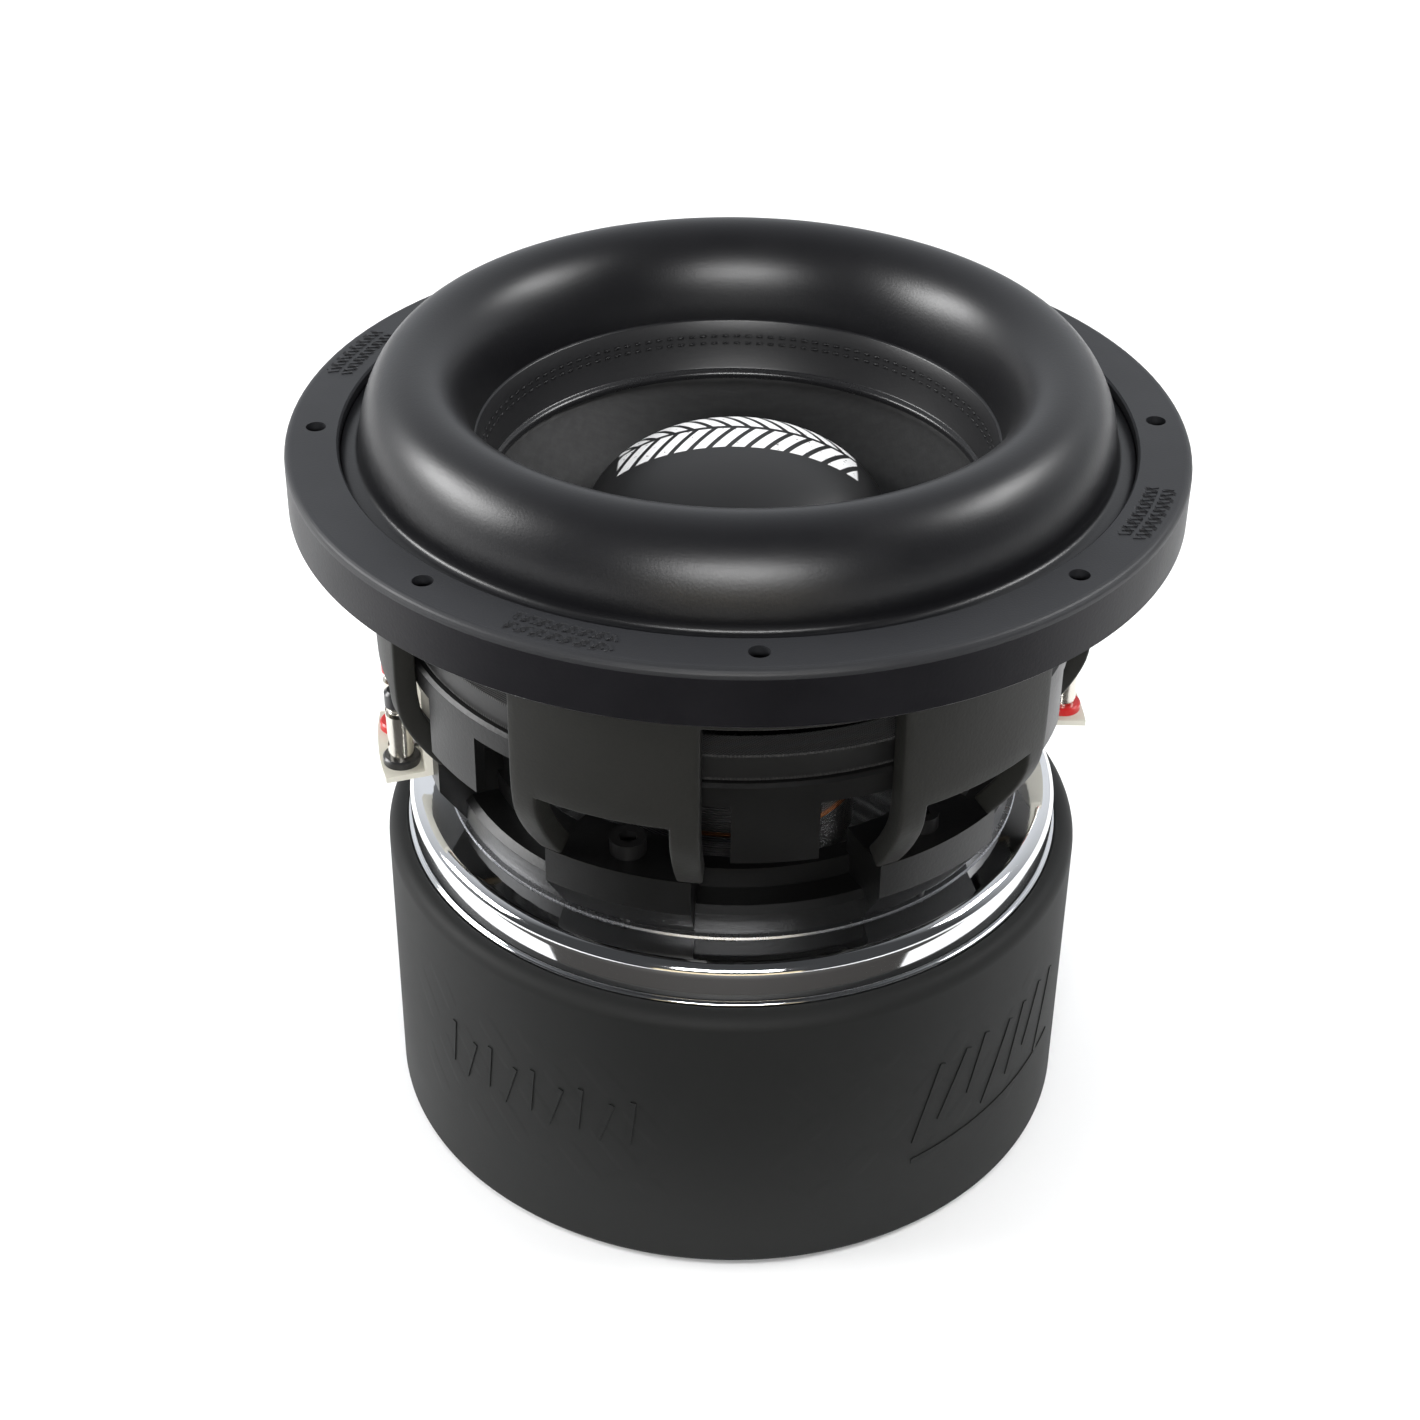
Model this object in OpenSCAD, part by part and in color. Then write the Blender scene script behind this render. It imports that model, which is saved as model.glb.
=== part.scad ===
// Long-throw car subwoofer with a six-spoke cast basket, four stacked magnets and a rubber boot.
// It stands on the bottom of its boot, +Z is the way the cone faces, and the front is -Y.

/* [Mounting flange] */
// Outer diameter of the mounting flange
flange_d = 270; // [240:1:330]
// Height of the flange's outer edge, under the gasket
flange_h = 15.3; // [12:0.1:20]
// Distance from the bolt circle to the flange's outer edge
bolt_inset = 9; // [7:0.5:11]
// Number of bolt holes
bolt_count = 8; // [4:1:12]
// Diameter of each bolt hole
bolt_hole_d = 6; // [4:0.5:8]
// Angle of the first bolt hole, from the front
bolt_phase = 3; // [0:1:45]
// Width of the gasket ring
gasket_w = 16; // [14:0.5:18]
// Thickness of the gasket ring
gasket_t = 3; // [2:0.5:4]

/* [Basket] */
// Height of the basket, from the top plate to the mounting face
basket_h = 123.6; // [102:0.1:150]
// Distance from the flange's edge to the outside of the spokes
spoke_inset = 23; // [20:0.5:30]
// Thickness of the spokes and of the ring above them
spoke_t = 7; // [5:0.5:8]
// Width of each spoke, in degrees
spoke_angle = 30; // [26:1:34]
// Width of the cut-out low in each spoke, in degrees
cutout_angle = 21; // [20:0.5:22]
// Angle of the first spoke, from the front
spoke_phase = 40; // [20:1:59]
// Height of the solid ring between the flange and the windows
skirt_h = 16.7; // [8:0.1:20]
// Depth of the spider shelf below the mounting face
shelf_depth = 58; // [54:0.5:62]
// Width of the spider shelf
shelf_w = 17; // [14:0.5:20]
// Thickness of the spider shelf
shelf_t = 7.5; // [5:0.5:9]
// Height of the basket's feet above the top plate
foot_h = 25.6; // [22:0.1:30]
// Height of the basket's base ring above the top plate
base_ring_h = 10.1; // [6:0.1:14]

/* [Suspension] */
// Width of the surround's half roll
roll_w = 34; // [26:1:38]
// Height of the surround's half roll
roll_h = 27; // [20:1:32]
// Thickness of the surround's rubber
surround_t = 1.8; // [1.2:0.1:2.2]
// Thickness of the spider cloth
spider_t = 0.8; // [0.5:0.1:1]
// Number of waves across a spider
spider_waves = 6; // [4:1:8]

/* [Cone and coil] */
// Wall of the cone
cone_t = 1.8; // [1.2:0.1:2.5]
// Radius of the dust cap beyond the coil's inside
cap_overhang = 9.7; // [6:0.1:14]
// Rise of the dust cap's dome
cap_rise = 31; // [20:1:34]
// Inside diameter of the voice coil former
coil_d = 76.6; // [60:0.1:92]
// Wall of the former
former_t = 0.7; // [0.4:0.1:0.9]
// Thickness of the winding
winding_t = 1.4; // [0.8:0.1:2]
// Height of the winding
winding_h = 52; // [40:1:60]

/* [Motor] */
// Diameter of the magnets
magnet_d = 220; // [184:1:264]
// Thickness of each magnet
magnet_t = 20; // [16:1:24]
// Inside diameter of the magnets
magnet_bore_d = 112; // [110:1:134]
// Thickness of the top plate
plate_t = 17; // [14:0.5:22]
// Radius of the top plate's rounded shoulder
plate_shoulder = 5; // [2:0.5:6]
// Thickness of the back plate
back_plate_t = 15; // [12:0.5:20]
// Diameter of the vent through the pole
vent_d = 25; // [16:0.5:36]
// Wall of the rubber boot
boot_t = 2.3; // [2:0.1:4]
// Thickness of the boot's floor and lip
boot_floor_t = 3; // [2:0.5:5]

/* [Terminals] */
// Distance between the two posts of a terminal
post_spacing = 19.4; // [18:0.1:20]
// Radius of a post's barrel
post_r = 4; // [3.6:0.1:4.4]
// Radius of a push button
button_r = 4.2; // [3.8:0.1:4.8]
// Travel of a push button
button_travel = 3; // [2:0.1:3.2]
// Radius of the wire hole through a post
wire_hole_r = 1.9; // [1.2:0.1:2]

/* [Hidden] */
$fn = 96;

// Gaps between pieces that only meet, and between moving and still pieces
glue_gap = 0.3;
fit_gap = 0.4;
boot_gap = 0.2;
screw_gap = 0.05;
magnet_gap_outside = 0.8;
magnet_gap_inside = 1;

// Motor, from the floor up
magnet_r = magnet_d / 2;
magnet_count = 4;
yoke_r = magnet_r - 5;
magnets_z = boot_floor_t + back_plate_t;
plate_z = magnets_z + magnet_count * magnet_t;
plate_top_z = plate_z + plate_t;
plate_r = magnet_r - 5;
plate_step_r = plate_r + 1;
plate_step_h = boot_floor_t + 0.6;
boot_opening_r = magnet_r - 40;
boot_edge_r = 5.5;
screen_r = vent_d / 2 + 7;
screen_t = 1;
screen_hole_r = 1.3;
screen_pitch = 3.6;

// Mounting face and what hangs under it
face_z = plate_top_z + basket_h;
flange_r = flange_d / 2;
bolt_circle_r = flange_r - bolt_inset;
gasket_in_r = flange_r - gasket_w;
flange_top_z = face_z - gasket_t;
flange_low_z = flange_top_z - flange_h;
skirt_low_z = flange_low_z - skirt_h;
spoke_r = flange_r - spoke_inset;
spoke_in_r = spoke_r - spoke_t;
spoke_count = 6;
right_terminal = spoke_phase + 60;
left_terminal = spoke_phase + 240;

// Spider shelf, base ring and feet
shelf_z = face_z - shelf_depth;
shelf_low_z = shelf_z - shelf_t;
shelf_in_r = spoke_in_r - shelf_w;
skirt_step = 0.5;
leg_t = 6.4;
tab_angle = 14;
tab_turn = 27;
tab_t = 4;
tab_h = 20;
foot_r = plate_r - 6;
foot_in_r = plate_r - 27;
foot_angle = 27;
foot_slope_h = 13.6;
base_ring_r = plate_r - 14.4;
base_ring_in_r = plate_r - 39;
foot_top_z = plate_top_z + foot_h;
cutout_top_z = shelf_low_z - 4.5;
panel_low_z = cutout_top_z - 4;

// Surround, cone and dust cap
foot_w = 5.4;
roll_out_r = gasket_in_r - fit_gap - foot_w;
roll_in_r = roll_out_r - roll_w;
roll_mid_r = (roll_out_r + roll_in_r) / 2;
foot_z = flange_top_z - surround_t;
apron_drop = 20.2;
apron_lean = 3.6;
apron_low_r = roll_in_r - apron_lean;
apron_low_z = flange_top_z - apron_drop;
rim_r = apron_low_r + surround_t + glue_gap;
rim_z = apron_low_z - glue_gap;
rim_top_z = flange_top_z - 4;
rim_top_r = rim_r + apron_lean * (rim_top_z - rim_z) / apron_drop;
neck_depth = 50;
neck_z = face_z - neck_depth;
cap_side_h = 6.5;

// Voice coil
coil_r = coil_d / 2;
former_r = coil_r + former_t;
winding_r = former_r + winding_t;
gap_r = winding_r + magnet_gap_outside;
sleeve_r = coil_r - magnet_gap_inside;
sleeve_t = 0.5;
sleeve_h = 36;
pole_r = sleeve_r - sleeve_t;
pole_top_z = plate_top_z + 5.6;
coil_mid_z = plate_z + plate_t / 2;
former_low_z = coil_mid_z - winding_h / 2 - 2;
collar_h = 1.6;
collar_w = 4;
cap_r = coil_r + cap_overhang;

// Spiders
spider_r = spoke_in_r - 2.5;
spacer_h = 7;
spacer_w = 8.5;
upper_flange_z = shelf_z + spider_t + spacer_h;
upper_plane_z = neck_z - cone_t - collar_h - 1.8;
lower_plane_z = shelf_z - 8;
wave_h = 1.2;
cup_lean = 2.5;

// Screws
basket_screw_r = 3;
basket_screw_head_r = 5.5;
basket_screw_head_h = 5;
basket_screw_bite = 10;
basket_screw_circle_r = plate_r - 17;
terminal_screw_r = 1.25;
terminal_screw_head_r = 2.8;
terminal_screw_l = 6;
terminal_screw_height = -4.6;
terminal_screw_aside = 3;

// Terminals, measured at the first post, with the foot's top as zero height
base_plate_t = 2.5;
base_plate_r = foot_r + base_plate_t;
base_plate_angle = cutout_angle - 2;
base_plate_low = -10;
base_plate_top = 22;
shelf_reach = 12.5;
post_circle_r = foot_r + 8;
post_low = -8;
post_top = 10;
post_disc_r = 5.5;
post_disc_h = 2;
wire_hole_height = 0;
stem_r = 2.2;
stem_bore_r = 2.5;
stem_bore_depth = 7.9;
button_gap = button_travel + 0.5;
button_h = 5.5;
stem_l = 8;
lug_t = 1.2;
lug_w = 3;
lug_height = 8.4;
lug_end = foot_r - 3.6;
slot_gap = 0.2;
spring_wire_r = 0.35;
spring_r = 3.1;
spring_turns = 3;
spring_steps = 14;

// Tinsel leads: sideways, outwards and up, one list for the lead on each side of the spoke
lead_r = 1.2;
lead_sides = 8;
lead_route = [
    [9.7, 95.4, 150], [9.7, 93, 150], [9.4, 89, 150.7], [9, 84, 151], [8.6, 78, 150.4],
    [8.2, 72, 149.2], [7.8, 66, 148.4], [7.2, 60, 149], [6.6, 55, 151.3], [6, 51, 155],
    [5.4, 48, 159.5], [4.8, 45, 163], [4.2, 42.5, 165], [3.8, 40.8, 165.5]
];

// Points of an arc about c, in a radius and height plane
function arc(c, r, a0, a1, n = 6) =
    [for (i = [0:n]) c + r * [cos(a0 + (a1 - a0) * i / n), sin(a0 + (a1 - a0) * i / n)]];

// Height of the cone's front face at radius r
function cone_front(r) = neck_z + (rim_z - neck_z) * (r - former_r) / (rim_r - former_r);

// Half ellipse of the roll, from its outer foot over the top to its inner foot
function roll_arc(w, h, z, n = 28) =
    [for (i = [0:n]) [roll_mid_r + w * cos(180 * i / n), z + h * sin(180 * i / n)]];

// A spider's wave, from its cup in to its neck
function wave(r0, r1, z, n) =
    [for (i = [0:n]) [r0 + (r1 - r0) * i / n, z + wave_h * sin(360 * spider_waves * i / n)]];

module ring_of(points) rotate_extrude() polygon(points);

module sector_of(middle, width, points)
    rotate([0, 0, middle - 90 - width / 2])
        rotate_extrude(angle = width) polygon(points);

module at_angle(a, r, z) rotate([0, 0, a]) translate([0, -r, z]) children();

// A tube swept along a route, with a flat end on each side
function unit(v) = v / norm(v);
function route_dir(route, i) =
    unit(route[min(i + 1, len(route) - 1)] - route[max(i - 1, 0)]);
function ring_points(p, d, r, sides) =
    let (side = unit(cross(d, abs(d[2]) > 0.9 ? [1, 0, 0] : [0, 0, 1])), up = cross(side, d))
    [for (k = [0:sides - 1]) p + r * (cos(360 * k / sides) * side + sin(360 * k / sides) * up)];

module swept_tube(route, r, sides) {
    last = len(route) - 1;
    rings = [for (i = [0:last]) each ring_points(route[i], route_dir(route, i), r, sides)];
    walls = [for (i = [0:last - 1], k = [0:sides - 1])
        [i * sides + k, i * sides + (k + 1) % sides,
         (i + 1) * sides + (k + 1) % sides, (i + 1) * sides + k]];
    first_cap = [[for (k = [sides - 1:-1:0]) k]];
    last_cap = [[for (k = [0:sides - 1]) last * sides + k]];
    polyhedron(rings, concat(first_cap, walls, last_cap));
}

// Cast basket
module basket_flange() color("#202123") difference() {
    ring_of([
        [spoke_in_r, flange_low_z + skirt_step], [spoke_r + 2, flange_low_z + skirt_step],
        [spoke_r + 2, flange_low_z], [flange_r - 0.7, flange_low_z], [flange_r, flange_low_z + 0.7],
        [flange_r, flange_top_z], [gasket_in_r - 0.1, flange_top_z], [gasket_in_r - 0.1, foot_z],
        [spoke_r, foot_z], [spoke_in_r, foot_z - spoke_t]
    ]);
    for (i = [0:bolt_count - 1])
        at_angle(bolt_phase + 360 * i / bolt_count, bolt_circle_r, flange_low_z - 1)
            cylinder(d = bolt_hole_d, h = flange_h + gasket_t + 2);
}

// Upright band under the flange, which the spokes hang from
module basket_skirt() color("#202123") ring_of([
    [spoke_in_r, skirt_low_z], [spoke_r, skirt_low_z], [spoke_r, flange_low_z - 2],
    [spoke_r + 2, flange_low_z], [spoke_r + 2, flange_low_z + skirt_step],
    [spoke_in_r, flange_low_z + skirt_step]
]);

// Profile of a spoke: an upright panel, then legs that lean in to the foot
function leg_r(t) = spoke_r - 0.6 + (foot_r - spoke_r + 0.6) * t;
module basket_spoke(i) color("#2a2a2c") {
    middle = spoke_phase + 60 * i;
    leg_h = panel_low_z - foot_top_z;
    difference() {
        sector_of(middle, spoke_angle, [
            [spoke_in_r, skirt_low_z], [spoke_in_r, shelf_low_z], [leg_r(0) - leg_t, panel_low_z],
            [leg_r(0.45) - leg_t, panel_low_z - leg_h * 0.5], [foot_r - leg_t, foot_top_z],
            [foot_r, foot_top_z], [leg_r(0.45), panel_low_z - leg_h * 0.6],
            [leg_r(0), panel_low_z], [spoke_r, shelf_z], [spoke_r, skirt_low_z]
        ]);
        sector_of(middle, cutout_angle, [
            [foot_in_r, foot_top_z - 1], [foot_in_r, cutout_top_z],
            [flange_r, cutout_top_z], [flange_r, foot_top_z - 1]
        ]);
    }
}

// Shelf that the spiders are glued on, with a tab hanging in each window
module basket_shelf() color("#1c1c1e") {
    ring_of([
        [shelf_in_r, shelf_low_z], [spoke_in_r, shelf_low_z], [spoke_in_r, shelf_z - 1],
        [spoke_in_r - 1, shelf_z], [shelf_in_r, shelf_z]
    ]);
    for (i = [0:spoke_count - 1])
        sector_of(spoke_phase + tab_turn + 60 * i, tab_angle, [
            [spoke_in_r - tab_t, shelf_low_z - tab_h], [spoke_in_r - 0.4, shelf_low_z - tab_h],
            [spoke_in_r - 0.4, shelf_z - shelf_t / 2], [spoke_in_r - tab_t, shelf_z - shelf_t / 2]
        ]);
}

module basket_base_ring() color("#1c1c1e") difference() {
    union() {
        ring_of([
            [base_ring_in_r, plate_top_z], [base_ring_r, plate_top_z],
            [base_ring_r, plate_top_z + base_ring_h - 2], [base_ring_r - 2, plate_top_z + base_ring_h],
            [foot_in_r + 2, plate_top_z + base_ring_h], [foot_in_r + 2, plate_top_z + base_ring_h + 7],
            [foot_in_r - 4, plate_top_z + base_ring_h + 7], [foot_in_r - 6, plate_top_z + base_ring_h],
            [base_ring_in_r, plate_top_z + base_ring_h - 4]
        ]);
        for (i = [0:spoke_count - 1])
            sector_of(spoke_phase + 60 * i, foot_angle, [
                [foot_in_r, plate_top_z + 1], [base_ring_r, plate_top_z + 1],
                [foot_r, plate_top_z + foot_slope_h], [foot_r, foot_top_z], [foot_in_r, foot_top_z]
            ]);
    }
    for (i = [0:spoke_count - 1])
        at_angle(spoke_phase + 60 * i, basket_screw_circle_r, plate_top_z - 1)
            cylinder(r = basket_screw_r + 0.3, h = foot_h + 2);
    for (a = [right_terminal, left_terminal], s = [-1, 1])
        at_screw(a, s, foot_r + 1)
            cylinder(r = terminal_screw_r + screw_gap, h = terminal_screw_l + 1.5);
}

module gasket() color("#3b3d42") difference() {
    ring_of(concat(
        [[gasket_in_r, flange_top_z], [flange_r, flange_top_z]],
        arc([flange_r - 2.4, face_z - 2.4], 2.4, 0, 90),
        [[gasket_in_r + 0.6, face_z], [gasket_in_r, face_z - 0.6]]));
    for (i = [0:bolt_count - 1])
        at_angle(bolt_phase + 360 * i / bolt_count, bolt_circle_r, flange_top_z - 1)
            cylinder(d = bolt_hole_d, h = gasket_t + 2);
}

// Rubber half roll, with a flat foot outside and an apron stitched to the cone inside
module surround() color("#222225") ring_of(concat(
    [[roll_out_r + foot_w, foot_z], [roll_out_r + foot_w, flange_top_z]],
    roll_arc(roll_w / 2, roll_h, flange_top_z),
    [[apron_low_r, apron_low_z], [apron_low_r + surround_t, apron_low_z],
     [roll_in_r + surround_t, flange_top_z]],
    [for (p = [1:27]) let (a = roll_arc(roll_w / 2 - surround_t, roll_h - surround_t, flange_top_z))
        a[28 - p]],
    [[roll_out_r - surround_t, flange_top_z], [roll_out_r - surround_t, foot_z]]));

// Cone: an upright rim behind the surround's apron, then a straight cone down to the coil
module cone() color("#1f1f22") ring_of([
    [rim_top_r, rim_top_z], [rim_r, rim_z], [former_r, neck_z], [former_r, neck_z - cone_t],
    [rim_r + cone_t, rim_z - 0.4], [rim_top_r + cone_t, rim_top_z]
]);

module dust_cap() color("#26262a") {
    wall = 1.2;
    base_z = cone_front(cap_r) + cap_side_h;
    ring_of(concat(
        [[cap_r - wall, cone_front(cap_r - wall)], [cap_r, cone_front(cap_r)]],
        [for (i = [0:16]) [cap_r * cos(90 * i / 16), base_z + cap_rise * sin(90 * i / 16)]],
        [for (i = [16:-1:0]) [(cap_r - wall) * cos(90 * i / 16),
                              base_z + (cap_rise - wall) * sin(90 * i / 16)]]));
}

module coil_former() color("#b8a060") ring_of([
    [coil_r, former_low_z], [former_r, former_low_z], [former_r, neck_z + 1], [coil_r, neck_z + 1]
]);

module coil_winding() color("#b5651d") ring_of([
    [former_r, coil_mid_z - winding_h / 2], [winding_r, coil_mid_z - winding_h / 2],
    [winding_r, coil_mid_z + winding_h / 2], [former_r, coil_mid_z + winding_h / 2]
]);

module coil_collar() color("#3a3a3a") ring_of([
    [former_r, neck_z - cone_t - collar_h], [former_r + collar_w, neck_z - cone_t - collar_h],
    [former_r + collar_w, cone_front(former_r + collar_w) - cone_t - 0.6],
    [former_r, neck_z - cone_t]
]);

// A cupped cloth ring: flange on the shelf, cup wall, waves, and a neck round the coil
module spider(flange_z, cup_r, plane_z) {
    cup_in_r = cup_r - cup_lean;
    neck_r = former_r + glue_gap;
    top = wave(cup_in_r, neck_r + 2, plane_z + spider_t / 2, spider_waves * 8);
    low = wave(cup_in_r, neck_r + 2, plane_z - spider_t / 2, spider_waves * 8);
    ring_of(concat(
        [[spider_r, flange_z], [spider_r, flange_z + spider_t], [cup_r, flange_z + spider_t]],
        top,
        [[neck_r, plane_z + spider_t / 2], [neck_r, plane_z - spider_t / 2]],
        [for (i = [len(low) - 1:-1:0]) low[i]],
        [[cup_in_r + spider_t, plane_z - spider_t / 2], [cup_r + spider_t, flange_z]]));
}

module spider_upper() color("#c9a227") spider(upper_flange_z, spider_r - spacer_w - 1, upper_plane_z);
module spider_lower() color("#c9a227") spider(shelf_z, shelf_in_r - 1.5, lower_plane_z);

module spider_spacer() color("#303030") ring_of([
    [spider_r - spacer_w, shelf_z + spider_t], [spider_r, shelf_z + spider_t],
    [spider_r, upper_flange_z], [spider_r - spacer_w, upper_flange_z]
]);

// Two braided leads, from the posts' lugs to the coil
module tinsel_leads(a) color("#c8b070") rotate([0, 0, a])
    for (s = [-1, 1])
        swept_tube([for (p = lead_route) [s * p[0], -p[1], p[2]]], lead_r, lead_sides);

// Place of one of a terminal's two screws, with +Z pointing to the axis
module at_screw(a, s, r)
    at_angle(a, r, foot_top_z + terminal_screw_height)
        translate([s * terminal_screw_aside, 0, 0]) rotate([-90, 0, 0]) children();

// Terminal base: a curved plate screwed to the foot, with a shelf under the posts
module terminal_base(a) color("#d9d2c0") difference() {
    union() {
        sector_of(a, base_plate_angle, [
            [foot_r, foot_top_z + base_plate_low], [foot_r, foot_top_z + base_plate_top],
            [base_plate_r, foot_top_z + base_plate_top], [base_plate_r, foot_top_z + base_plate_low]
        ]);
        sector_of(a, base_plate_angle, [
            [base_plate_r - 1, foot_top_z + base_plate_low],
            [base_plate_r - 1, foot_top_z + post_low],
            [base_plate_r + shelf_reach, foot_top_z + post_low],
            [base_plate_r + shelf_reach, foot_top_z + base_plate_low]
        ]);
    }
    for (s = [-1, 1])
        at_angle(a, foot_r, foot_top_z + lug_height)
            translate([s * post_spacing / 2 - lug_w / 2 - slot_gap, -6, -slot_gap])
                cube([lug_w + 2 * slot_gap, 12, lug_t + 2 * slot_gap]);
    for (s = [-1, 1])
        at_screw(a, s, foot_r + 5) cylinder(r = terminal_screw_r + screw_gap, h = 10);
}

// Two posts: a disc, a barrel with a wire hole across it, and a flat lug to the inside
module terminal_posts(a) color("#c9c5b8") at_angle(a, post_circle_r, foot_top_z)
    for (s = [-1, 1])
        translate([s * post_spacing / 2, 0, 0]) difference() {
            union() {
                translate([0, 0, post_low]) cylinder(r = post_disc_r, h = post_disc_h);
                translate([0, 0, post_low]) cylinder(r = post_r, h = post_top - post_low);
                translate([-lug_w / 2, post_r - 0.8, lug_height])
                    cube([lug_w, post_circle_r - post_r + 0.8 - lug_end, lug_t]);
            }
            translate([0, 0, post_top - stem_bore_depth])
                cylinder(r = stem_bore_r, h = stem_bore_depth + 1);
            translate([0, -post_r - 1, wire_hole_height])
                rotate([-90, 0, 0]) cylinder(r = wire_hole_r, h = 2 * post_r + 2);
        }

module at_post(a, s)
    at_angle(a, post_circle_r, foot_top_z + post_top)
        translate([s * post_spacing / 2, 0, 0]) children();

module push_button(a, s, tint) color(tint) at_post(a, s) {
    translate([0, 0, button_gap]) cylinder(r = button_r, h = button_h - 1);
    translate([0, 0, button_gap + button_h - 1]) cylinder(r1 = button_r, r2 = button_r - 1, h = 1);
    translate([0, 0, button_gap - stem_l]) cylinder(r = stem_r, h = stem_l);
}

module button_spring(a, s) color("silver") at_post(a, s)
    swept_tube([for (i = [0:spring_turns * spring_steps])
        [spring_r * cos(360 * i / spring_steps), spring_r * sin(360 * i / spring_steps),
         spring_wire_r * 1.1
         + (button_gap - 2.2 * spring_wire_r) * i / (spring_turns * spring_steps)]],
        spring_wire_r, 6);

module terminal_screws() color("#8a8a8a")
    for (a = [right_terminal, left_terminal], s = [-1, 1])
        at_screw(a, s, base_plate_r) {
            translate([0, 0, -1.4]) cylinder(r = terminal_screw_head_r, h = 1.4);
            cylinder(r = terminal_screw_r, h = base_plate_t + terminal_screw_l);
        }

// Socket screws through the feet into the top plate
module basket_screws() color("#1a1a1a")
    for (i = [0:spoke_count - 1])
        at_angle(spoke_phase + 60 * i, basket_screw_circle_r, foot_top_z) difference() {
            union() {
                cylinder(r = basket_screw_head_r, h = basket_screw_head_h);
                translate([0, 0, -foot_h - basket_screw_bite])
                    cylinder(r = basket_screw_r, h = foot_h + basket_screw_bite);
            }
            translate([0, 0, basket_screw_head_h - 3]) cylinder(r = 2.9, h = 4, $fn = 6);
        }

// Motor
module top_plate() color("#d8d9dc") difference() {
    ring_of(concat(
        [[gap_r, plate_z], [plate_step_r, plate_z], [plate_step_r, plate_z + plate_step_h],
         [plate_r, plate_z + plate_step_h + 0.5]],
        arc([plate_r - plate_shoulder, plate_top_z - plate_shoulder], plate_shoulder, 0, 90, 8),
        [[gap_r + 0.6, plate_top_z], [gap_r, plate_top_z - 0.6]]));
    for (i = [0:spoke_count - 1])
        at_angle(spoke_phase + 60 * i, basket_screw_circle_r, plate_top_z - basket_screw_bite - 1)
            cylinder(r = basket_screw_r + screw_gap, h = basket_screw_bite + 2);
}

module magnet(i) color("#3c3c3e") {
    low = magnets_z + i * magnet_t;
    ring_of([
        [magnet_bore_d / 2, low], [magnet_r - 1, low], [magnet_r, low + 1],
        [magnet_r, low + magnet_t - 1], [magnet_r - 1, low + magnet_t], [magnet_bore_d / 2, low + magnet_t]
    ]);
}

// Back plate and vented pole in one piece, with a recess for the vent's screen
module yoke() color("#9a9ca0") ring_of([
    [screen_r + fit_gap, boot_floor_t], [yoke_r - 1, boot_floor_t], [yoke_r, boot_floor_t + 1],
    [yoke_r, magnets_z], [pole_r, magnets_z], [pole_r, pole_top_z - 1], [pole_r - 1, pole_top_z],
    [vent_d / 2 + 6, pole_top_z], [vent_d / 2, pole_top_z - 10],
    [vent_d / 2, boot_floor_t + screen_t], [screen_r + fit_gap, boot_floor_t + screen_t]
]);

module pole_sleeve() color("#b87333") ring_of([
    [pole_r, pole_top_z - 1 - sleeve_h], [sleeve_r, pole_top_z - 1 - sleeve_h],
    [sleeve_r, pole_top_z - 1], [pole_r, pole_top_z - 1]
]);

module vent_screen() color("#2e2e30") translate([0, 0, boot_floor_t]) difference() {
    cylinder(r = screen_r, h = screen_t);
    for (i = [-5:5], j = [-5:5]) {
        x = screen_pitch * (i + (j % 2 == 0 ? 0 : 0.5));
        y = screen_pitch * j * sqrt(3) / 2;
        if (norm([x, y]) < vent_d / 2 - screen_hole_r)
            translate([x, y, -1]) cylinder(r = screen_hole_r, h = screen_t + 2, $fn = 24);
    }
}

// Rubber boot over the magnets: an open floor, a tall side and a lip on the top magnet
module motor_boot() color("#262628") {
    side_r = magnet_r + boot_gap + boot_t;
    lip_z = plate_z + boot_floor_t;
    ring_of(concat(
        [[boot_opening_r, 0]],
        arc([side_r - 2.5, 2.5], 2.5, -90, 0),
        arc([side_r - boot_edge_r, lip_z - boot_edge_r], boot_edge_r, 0, 90, 8),
        [[plate_step_r + boot_gap, lip_z], [plate_step_r + boot_gap, plate_z],
         [magnet_r + boot_gap, plate_z], [magnet_r + boot_gap, boot_floor_t],
         [boot_opening_r, boot_floor_t]]));
}

basket_flange();
basket_skirt();
basket_spoke(0);  // basket_spoke_1
basket_spoke(1);  // basket_spoke_2
basket_spoke(2);  // basket_spoke_3
basket_spoke(3);  // basket_spoke_4
basket_spoke(4);  // basket_spoke_5
basket_spoke(5);  // basket_spoke_6
basket_shelf();
basket_base_ring();
gasket();
surround();
cone();
dust_cap();
coil_former();
coil_winding();
coil_collar();
spider_upper();
spider_spacer();
spider_lower();
tinsel_leads(right_terminal);  // tinsel_leads_right
tinsel_leads(left_terminal);  // tinsel_leads_left
terminal_base(right_terminal);  // terminal_base_right
terminal_base(left_terminal);  // terminal_base_left
terminal_posts(right_terminal);  // terminal_posts_right
terminal_posts(left_terminal);  // terminal_posts_left
push_button(right_terminal, -1, "#b3261e");  // push_button_right_red
push_button(right_terminal, 1, "#1b1b1d");  // push_button_right_black
push_button(left_terminal, -1, "#b3261e");  // push_button_left_red
push_button(left_terminal, 1, "#1b1b1d");  // push_button_left_black
button_spring(right_terminal, -1);  // button_spring_right_red
button_spring(right_terminal, 1);  // button_spring_right_black
button_spring(left_terminal, -1);  // button_spring_left_red
button_spring(left_terminal, 1);  // button_spring_left_black
terminal_screws();
basket_screws();
top_plate();
magnet(0);  // magnet_1
magnet(1);  // magnet_2
magnet(2);  // magnet_3
magnet(3);  // magnet_4
yoke();
pole_sleeve();
vent_screen();
motor_boot();
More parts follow.
